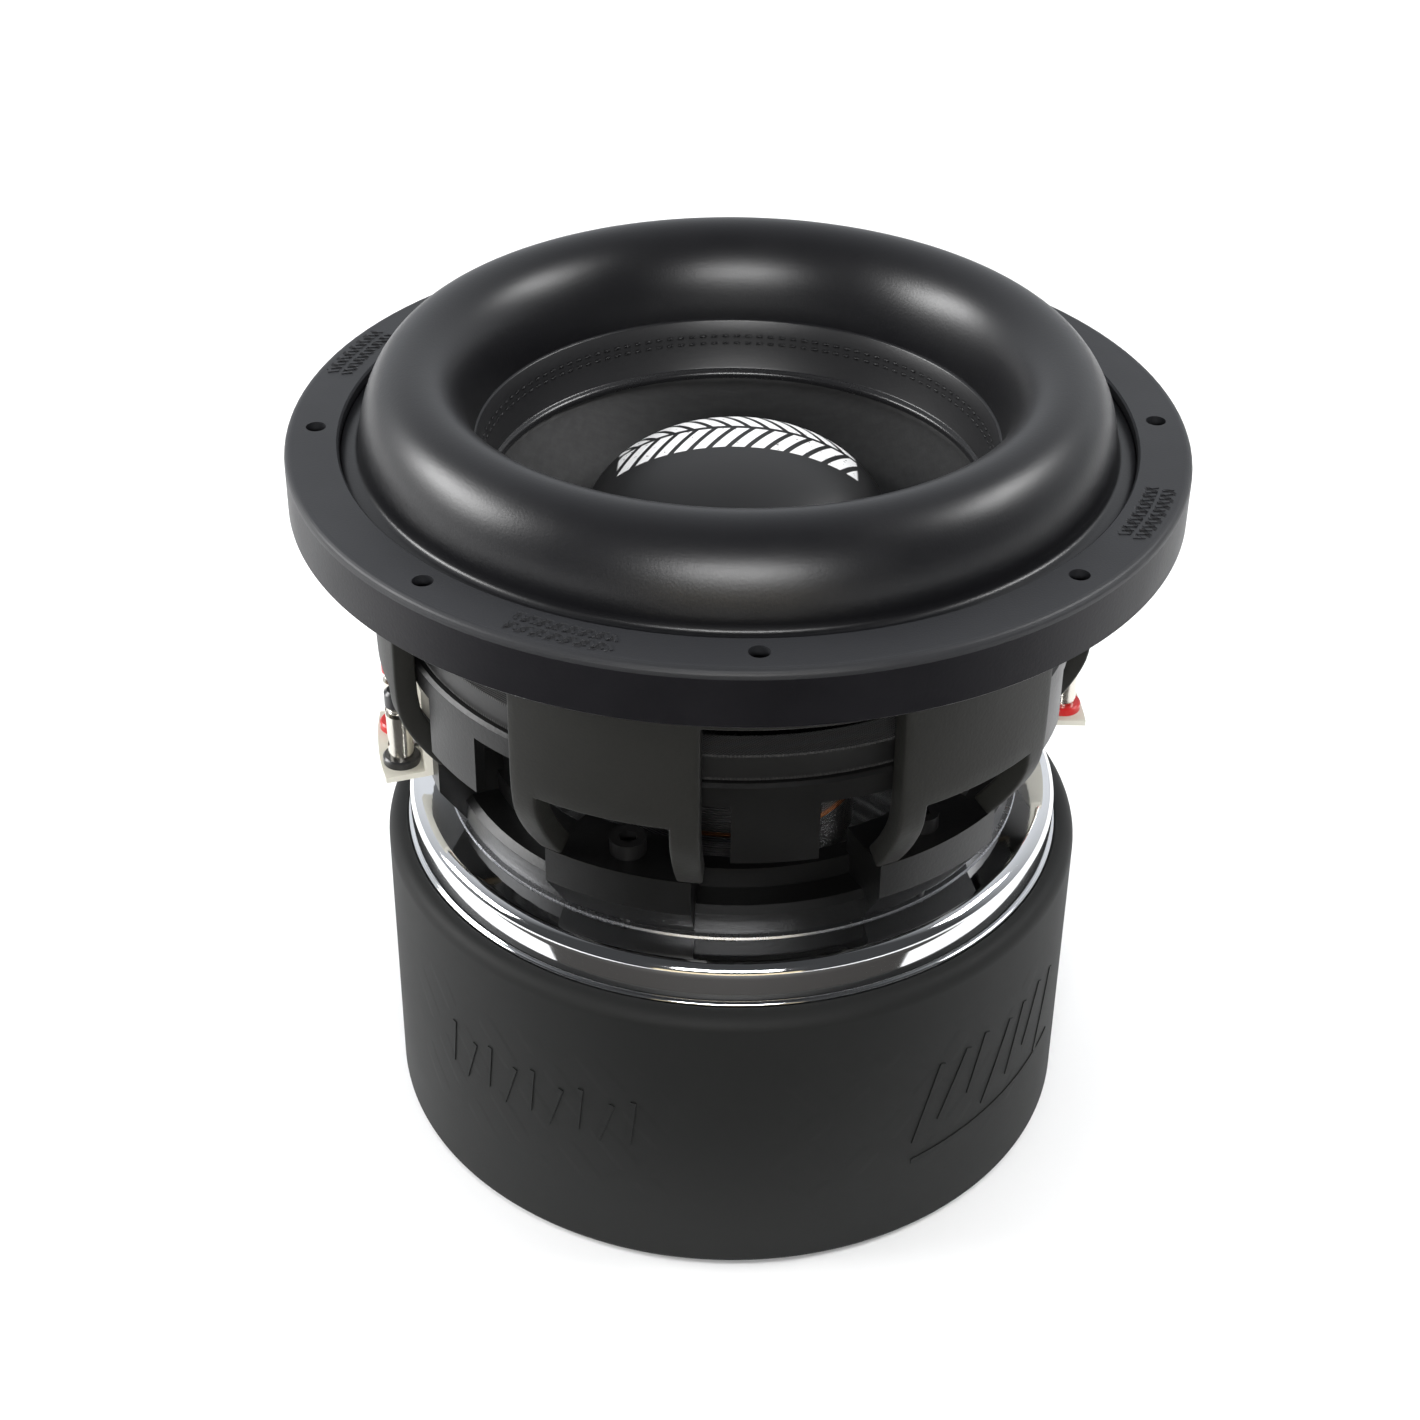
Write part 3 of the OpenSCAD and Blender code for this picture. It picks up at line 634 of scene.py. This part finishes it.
spider_outer = high_of("spider_upper").x
spider_piece("upper_spider", "spider_upper", high_of("spider_spacer").z, spider_outer - 9.5 * MM,
             neck_z - 5.2 * MM)
spider_piece("lower_spider", "spider_lower", shelf_z, cage_r - 25.5 * MM, shelf_z - 8 * MM)

# %% [markdown]
# The flange is the basket's rim. It is turned, two of its lower edges are chamfered, and the
# eight bolt holes are cut through it with one joined cutter.

# %% Flange with its bolt holes
outline = [(cage_r + 0.05 * MM, flange_low + 4 * MM), (cage_r + 0.05 * MM, flange_low + 1.4 * MM),
           (cage_r + 1.6 * MM, flange_low), (flange_r - 0.7 * MM, flange_low),
           (flange_r, flange_low + 0.7 * MM), (flange_r, seat_z),
           (flange_r - 16.1 * MM, seat_z), (flange_r - 16.1 * MM, seat_z - wall),
           (cage_r - 6 * MM, seat_z - wall), (cage_r - 6 * MM, seat_z - wall - 2 * MM),
           (cage_r + 0.05 * MM, seat_z - wall - 4 * MM)]
rim = to_object("flange_ring", turned(outline), 35)
cutter_mesh = bmesh.new()
for angle in BOLTS:
    bmesh.ops.create_cone(cutter_mesh, cap_ends=True, segments=32, radius1=3 * MM, radius2=3 * MM,
                          depth=60 * MM, matrix=place(angle, bolt_circle_r, seat_z))
cutter = to_object("bolt_cutter", cutter_mesh)
cut = rim.modifiers.new("bolt_holes", "BOOLEAN")
cut.object, cut.solver, cut.operation = cutter, "EXACT", "DIFFERENCE"
bpy.context.view_layer.update()
drilled = bpy.data.meshes.new_from_object(rim.evaluated_get(bpy.context.evaluated_depsgraph_get()))
rim.modifiers.clear()
rim.data = drilled
rim.data.set_sharp_from_angle(angle=math.radians(35))
bpy.data.objects.remove(cutter)
settle(rim, "basket", ["basket_flange"])
coat(rim, flange_paint)

# %% [markdown]
# The cage under the flange is one casting with six wide spokes. Its outer skin is turned as
# a fine grid, the windows and the cut-outs are taken out of the grid, and Solidify gives the
# wall. A Bevel then rounds every edge, as a casting's are.

# %% Basket cage
def cage_outline():
    top = seat_z - wall - 4 * MM
    window = low_of("basket_spoke_1").z + 63 * MM
    panel = shelf_z - 16 * MM
    leg = panel - foot_z
    rows = [(cage_r, top), (cage_r, (top + window) / 2), (cage_r, window)]
    rows += [(cage_r, window + (shelf_z - window) * i / 4) for i in range(1, 5)]
    rows += [(cage_r, shelf_z - 6 * MM), (cage_r - 0.2 * MM, shelf_z - 12 * MM),
             (cage_r - 0.6 * MM, panel)]
    for i in range(1, 9):
        share = i / 8
        rows.append((cage_r - 0.6 * MM - 12.4 * MM * share ** 1.5, panel - leg * share))
    return rows, window, shelf_z - 12 * MM


rows, window_top, cutout_top = cage_outline()
cage_mesh = turned(rows, 240, closed=False)
if sum(f.normal.dot(Vector((*f.calc_center_median().xy, 0))) for f in cage_mesh.faces) < 0:
    bmesh.ops.reverse_faces(cage_mesh, faces=cage_mesh.faces)
gone = []
for face in cage_mesh.faces:
    centre = face.calc_center_median()
    angle = math.degrees(math.atan2(centre.x, -centre.y))
    aside = abs((angle - SPOKES[0] + 30) % 60 - 30)
    if centre.z < window_top and aside > 15:
        gone.append(face)
    elif centre.z < cutout_top and aside < 10.5:
        gone.append(face)
bmesh.ops.delete(cage_mesh, geom=gone, context="FACES")
cage = to_object("basket_cage", cage_mesh, 40)
thick = cage.modifiers.new("wall", "SOLIDIFY")
thick.thickness, thick.offset, thick.use_even_offset = 6.9 * MM, -1, True
soft = cage.modifiers.new("cast_edges", "BEVEL")
soft.width, soft.segments, soft.angle_limit = 0.9 * MM, 3, math.radians(50)
soft.harden_normals = False
cage_nodes = ["basket_skirt"] + [f"basket_spoke_{i}" for i in range(1, 7)]
settle(cage, "basket", cage_nodes)
coat(cage, casting)

# %% [markdown]
# The top plate carries the mirror finish, so its shape needs clean curves: a flat face, a
# generous round shoulder, a straight side and a fine bright lip where the boot ends.

# %% Top plate
gap_r = high_of("coil_winding").x + 0.8 * MM
plate_low = low_of("top_plate").z
lip_z = plate_low + 3.6 * MM
shoulder = 5 * MM
outline = [(gap_r, plate_low), (plate_r + 1 * MM, plate_low)]
outline += arc(plate_r, lip_z - 0.9 * MM, 1 * MM, 1 * MM, 0, 84, 8) + [(plate_r, lip_z + 0.2 * MM)]
outline += arc(plate_r - shoulder, plate_top - shoulder, shoulder, shoulder, 0, 90, 16)
outline += [(gap_r + 0.6 * MM, plate_top), (gap_r, plate_top - 0.6 * MM)]
plate = turned_piece("mirror_plate", outline, "basket", ["top_plate"], sharp=30,
                     steps=320)
coat(plate, mirror)

# %% [markdown]
# Where the basket stands on the plate its paint ends, and a narrow turned edge stays bright.

# %% Bright edge of the basket's base
base_r = 90.6 * MM
outline = [(base_r - 0.4 * MM, plate_top), (base_r + 1.9 * MM, plate_top),
           (base_r + 1.6 * MM, plate_top + 0.7 * MM), (base_r - 0.4 * MM, plate_top + 0.9 * MM)]
seat_ring = turned_piece("base_edge", outline, "basket", sharp=20)
coat(seat_ring, bare_edge)

# %% [markdown]
# The boot is a deep rubber cup with a rolled top edge and an open bottom.

# %% Boot
side_in = boot_r - 2.3 * MM
lip_in = plate_r + 1.2 * MM
lip_under = boot_top - 3 * MM
outline = [(70 * MM, 0)] + arc(boot_r - 2.5 * MM, 2.5 * MM, 2.5 * MM, 2.5 * MM, -90, 0, 6)
outline += arc(boot_r - 5.5 * MM, boot_top - 5.5 * MM, 5.5 * MM, 5.5 * MM, 0, 90, 10)
outline += [(lip_in + 0.5 * MM, boot_top), (lip_in, boot_top - 0.5 * MM), (lip_in, lip_under),
            (side_in, lip_under), (side_in, 3 * MM), (70 * MM, 3 * MM)]
boot = turned_piece("rubber_boot", outline, "basket", ["motor_boot"])
coat(boot, boot_finish)

# %% [markdown]
# The gasket and the boot carry raised moulded marks. Here they are plain slanted bars. A bar
# is made as a block, cut across its length and bent round the axis, so it hugs the ring.

# %% Raised marks
def bars(name, rows, radius, height, upright):
    mesh = bmesh.new()
    for angle, offset, length, width, lean in rows:
        done = len(mesh.verts)
        scale = Matrix.Diagonal((length * MM, width * MM, height * 2, 1))
        made = bmesh.ops.create_cube(mesh, size=1, matrix=scale)["verts"]
        edges = {e for v in made for e in v.link_edges}
        half_length = 0.5 * length * MM
        long_edges = [e for e in edges if abs(e.verts[0].co.x - e.verts[1].co.x) > half_length]
        bmesh.ops.subdivide_edges(mesh, edges=long_edges, cuts=max(1, int(length / 3)),
                                  use_grid_fill=True)
        for vert in list(mesh.verts)[done:]:
            along, across, out = Matrix.Rotation(math.radians(lean), 3, "Z") @ vert.co
            turn = math.radians(angle) + along / radius
            reach = radius + (out if upright else across + offset * MM)
            level = across + offset * MM if upright else face_z + out
            vert.co = (reach * math.sin(turn), -reach * math.cos(turn), level)
    bmesh.ops.recalc_face_normals(mesh, faces=mesh.faces)
    return to_object(name, mesh, 30)


gasket_rows = [(middle + 1.1 * step, side, 3.4, 0.9, 60)
               for middle in (-21, 67, -110) for step in range(-6, 7) for side in (-2.2, 2.2)]
marks_r = 127 * MM
gasket_marks = bars("gasket_marks", gasket_rows, marks_r, 0.3 * MM, False)
settle(gasket_marks, "basket")
coat(gasket_marks, gasket_finish)

boot_rows = [(start + 5.2 * step, 52 + 3.0 * (step % 3), 30 - 4 * (step % 3), 2.2,
              72 - 6 * (step % 2)) for start in (34, 214) for step in range(7)]
boot_rows += [(start + 16, 34, 74, 1.8, 6) for start in (34, 214)]
boot_rows += [(start + 4.4 * step, 56 - 2.5 * (step % 2), 17, 1.8, 84 - 12 * (step % 2))
              for start in (-50, 130) for step in range(9)]
boot_marks = bars("boot_marks", boot_rows, boot_r, 0.35 * MM, True)
settle(boot_marks, "basket")
coat(boot_marks, boot_finish)

# %% [markdown]
# The tinsel leads are woven flat wire. Each is a tube along the same route as in the frame,
# running from a lug at one end to the coil at the other.

# %% Tinsel leads
ROUTE = [(9.7, 95.4, 150), (9.7, 93, 150), (9.4, 89, 150.7), (9, 84, 151), (8.6, 78, 150.4),
         (8.2, 72, 149.2), (7.8, 66, 148.4), (7.2, 60, 149), (6.6, 55, 151.3), (6, 51, 155),
         (5.4, 48, 159.5), (4.8, 45, 163), (4.2, 42.5, 165), (3.8, 40.8, 165.5)]


def tube(name, routes, radius, rounds=6):
    curve = bpy.data.curves.new(name, "CURVE")
    curve.dimensions, curve.bevel_depth, curve.bevel_resolution = "3D", radius, rounds
    curve.use_fill_caps, curve.resolution_u = True, 8
    for route in routes:
        line = curve.splines.new("NURBS")
        line.points.add(len(route) - 1)
        line.use_endpoint_u, line.order_u = True, 3
        for point, spot in zip(line.points, route):
            point.co = (*spot, 1)
    holder = bpy.data.objects.new(name, curve)
    bpy.context.scene.collection.objects.link(holder)
    bpy.context.view_layer.update()
    solved = holder.evaluated_get(bpy.context.evaluated_depsgraph_get())
    data = bpy.data.meshes.new_from_object(solved)
    bpy.data.objects.remove(holder)
    data.shade_smooth()
    piece = bpy.data.objects.new(name, data)
    bpy.context.scene.collection.objects.link(piece)
    return piece


for side, angle in TERMINALS.items():
    turn_to = Matrix.Rotation(math.radians(angle), 4, "Z")
    routes = [[turn_to @ Vector((s * x * MM, -r * MM, z * MM)) for x, r, z in ROUTE]
              for s in (-1, 1)]
    leads = tube(f"braided_leads_{side}", routes, 1.2 * MM)
    settle(leads, None, [f"tinsel_leads_{side}"])
    bend_with_cone(leads, 90 * MM, 41 * MM)
    coat(leads, braid)

# %% [markdown]
# Under each push button sits a small coil spring. A ring of wire is spun along a screw to
# make it.

# %% Button springs
def at_post(side, sign, height):
    aside = Matrix.Translation((sign * 9.7 * MM, 0, 0))
    return place(TERMINALS[side], 107 * MM, height) @ aside


def spring_piece(side, tint, sign):
    spot = at_post(side, sign, low_of(f"push_button_{side}_{tint}").z + 4.5 * MM)
    wire, coil, turns_count, steps = 0.35 * MM, 3.1 * MM, 3, 20
    mesh = bmesh.new()
    section = bmesh.ops.create_circle(mesh, cap_ends=False, segments=8, radius=wire,
                                      matrix=Matrix.Translation((coil, 0, wire))
                                      @ Matrix.Rotation(math.radians(90), 4, "X"))["verts"]
    edges = list({e for v in section for e in v.link_edges})
    bmesh.ops.spin(mesh, geom=section + edges, cent=(0, 0, 0), axis=(0, 0, 1),
                   dvec=(0, 0, 2.7 * MM / (turns_count * steps)), angle=math.tau * turns_count,
                   steps=turns_count * steps, use_merge=False, use_duplicate=False)
    bmesh.ops.holes_fill(mesh, edges=[e for e in mesh.edges if len(e.link_faces) == 1], sides=0)
    bmesh.ops.recalc_face_normals(mesh, faces=mesh.faces)
    bmesh.ops.transform(mesh, matrix=spot, verts=mesh.verts)
    piece = to_object(f"return_spring_{side}_{tint}", mesh, 60)
    settle(piece, "basket", [f"button_spring_{side}_{tint}"])
    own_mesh(piece)
    coat(piece, nickel)


POSTS = (("right", "red", -1), ("right", "black", 1), ("left", "red", -1), ("left", "black", 1))
for side, tint, sign in POSTS:
    spring_piece(side, tint, sign)

# %% [markdown]
# A coloured washer at the foot of each post tells plus from minus and insulates the post.

# %% Washers under the posts
for side, tint, sign in POSTS:
    floor_z = low_of(f"terminal_posts_{side}").z
    outline = [(3.9 * MM, 0), (5.8 * MM, 0), (5.8 * MM, 2.2 * MM), (5.3 * MM, 2.7 * MM),
               (4.02 * MM, 2.7 * MM)]
    washer_mesh = turned(outline, 48)
    spot = at_post(side, sign, floor_z)
    bmesh.ops.transform(washer_mesh, matrix=spot, verts=washer_mesh.verts)
    washer = to_object(f"post_washer_{side}_{tint}", washer_mesh, 30)
    settle(washer, "basket")
    coat(washer, red_cap if tint == "red" else black_cap)

# %% [markdown]
# A pale floor and three soft lamps: one in front and one at each side, low enough to put a
# separate soft streak on the roll. A broad lamp above only fills, and gives no reflection.
# Dark and beige cards in front, which only reflections see, give the mirror plate its bands.
# A plain pale wall runs round everything, so the view is pale from every side.

# %% Floor, wall and cards
def stage_piece(name, mesh, colour, **fixed):
    piece = to_object(name, mesh)
    tone = Finish(name + "_tone", colour, 0.8, **fixed)
    tone.feed("Roughness", 0.75 + 0.1 * tone.noise(3, 2.0))
    coat(piece, tone)
    return piece


def stage_plane(name, matrix, width, depth, colour, **fixed):
    mesh = bmesh.new()
    bmesh.ops.create_grid(mesh, x_segments=1, y_segments=1, size=1,
                          matrix=matrix @ Matrix.Diagonal((width, depth, 1, 1)))
    return stage_piece(name, mesh, colour, **fixed)


backdrop_mesh = bmesh.new()
bmesh.ops.create_cone(backdrop_mesh, cap_ends=False, segments=64, radius1=2.2, radius2=2.2, depth=8)
backdrop = stage_piece("backdrop", backdrop_mesh, (0.8, 0.8, 0.8), Emission_Color=(1, 1, 1, 1),
                       Emission_Strength=1.0)
backdrop.visible_diffuse = backdrop.visible_glossy = False
backdrop.visible_shadow = backdrop.visible_transmission = False

stage_plane("floor", Matrix.Translation((0, 0, -0.0005)), 6, 6, (0.86, 0.86, 0.86))
near = Matrix.Translation((0, -1.25, 0.0005))
upright = Matrix.Translation((0, -2.4, 0.22)) @ Matrix.Rotation(math.radians(90), 4, "X")
cards = [stage_plane("dark_card", near, 0.6, 1.1, (0.016, 0.014, 0.012)),
         stage_plane("beige_card", upright, 1.0, 0.2, (0.3, 0.25, 0.16),
                     Emission_Color=(0.62, 0.52, 0.33, 1), Emission_Strength=1.0)]
for card in cards:
    card.visible_camera = False
    card.visible_diffuse = False
    card.visible_shadow = False

# %% [markdown]
# The room is bright behind the speaker and dim in front of it, as beside a window.

# %% Room and lamps
world = bpy.data.worlds.new("studio")
bpy.context.scene.world = world
world.use_nodes = True
room = world.node_tree
glow = room.nodes["Background"]
direction = room.nodes.new("ShaderNodeTexCoord")
parts = room.nodes.new("ShaderNodeSeparateXYZ")
fade = room.nodes.new("ShaderNodeMapRange")
fade.inputs["From Min"].default_value = -0.2
fade.inputs["From Max"].default_value = 0.75
fade.inputs["To Min"].default_value = 0.06
fade.inputs["To Max"].default_value = 0.85
room.links.new(direction.outputs["Generated"], parts.inputs["Vector"])
room.links.new(parts.outputs["Y"], fade.inputs["Value"])
room.links.new(fade.outputs["Result"], glow.inputs["Strength"])
glow.inputs["Color"].default_value = (0.93, 0.96, 1.0, 1)


def lamp(name, turn, rise, distance, width, height, power, tint=(1, 1, 1)):
    light = bpy.data.lights.new(name, "AREA")
    light.shape, light.size, light.size_y = "RECTANGLE", width, height
    light.energy, light.color = power, tint
    holder = bpy.data.objects.new(name, light)
    bpy.context.scene.collection.objects.link(holder)
    turn, rise = math.radians(turn), math.radians(rise)
    way = Vector((math.sin(turn) * math.cos(rise), -math.cos(turn) * math.cos(rise),
                  math.sin(rise)))
    spot = Vector((0, 0, 0.24)) + way * distance
    facing = way.to_track_quat("Z", "Y").to_matrix().to_4x4()
    holder.matrix_world = Matrix.Translation(spot) @ facing
    return holder


lamp("front_box", 0, 22, 2.9, 1.6, 0.5, 62)
lamp("left_box", -92, 21, 2.6, 1.4, 0.7, 66)
lamp("right_box", 98, 36, 2.6, 1.1, 0.6, 34)
lamp("fill", 0, 89.9, 2.4, 2.4, 2.4, 60).visible_glossy = False

# %% [markdown]
# The camera looks down on the front at about 34 degrees, from three quarters of a metre.

# %% Camera
PITCH, PAN, ROLL = (math.radians(a) for a in (34.149, -0.623, 0.715))
lens = bpy.data.cameras.new("view")
lens.sensor_width, lens.lens = 36, 64.61
lens.clip_start = 0.01
viewer = bpy.data.objects.new("view", lens)
bpy.context.scene.collection.objects.link(viewer)
forward = Vector((math.sin(PAN) * math.cos(PITCH), math.cos(PAN) * math.cos(PITCH),
                  -math.sin(PITCH)))
level = Vector((math.cos(PAN), -math.sin(PAN), 0))
upward = level.cross(forward)
right = level * math.cos(ROLL) + upward * math.sin(ROLL)
above = upward * math.cos(ROLL) - level * math.sin(ROLL)
axes = Matrix((right, above, -forward)).transposed().to_4x4()
viewer.matrix_world = Matrix.Translation((0, -0.680453, face_z + 0.357695)) @ axes
bpy.context.scene.camera = viewer
bpy.context.scene.view_settings.view_transform = "Standard"
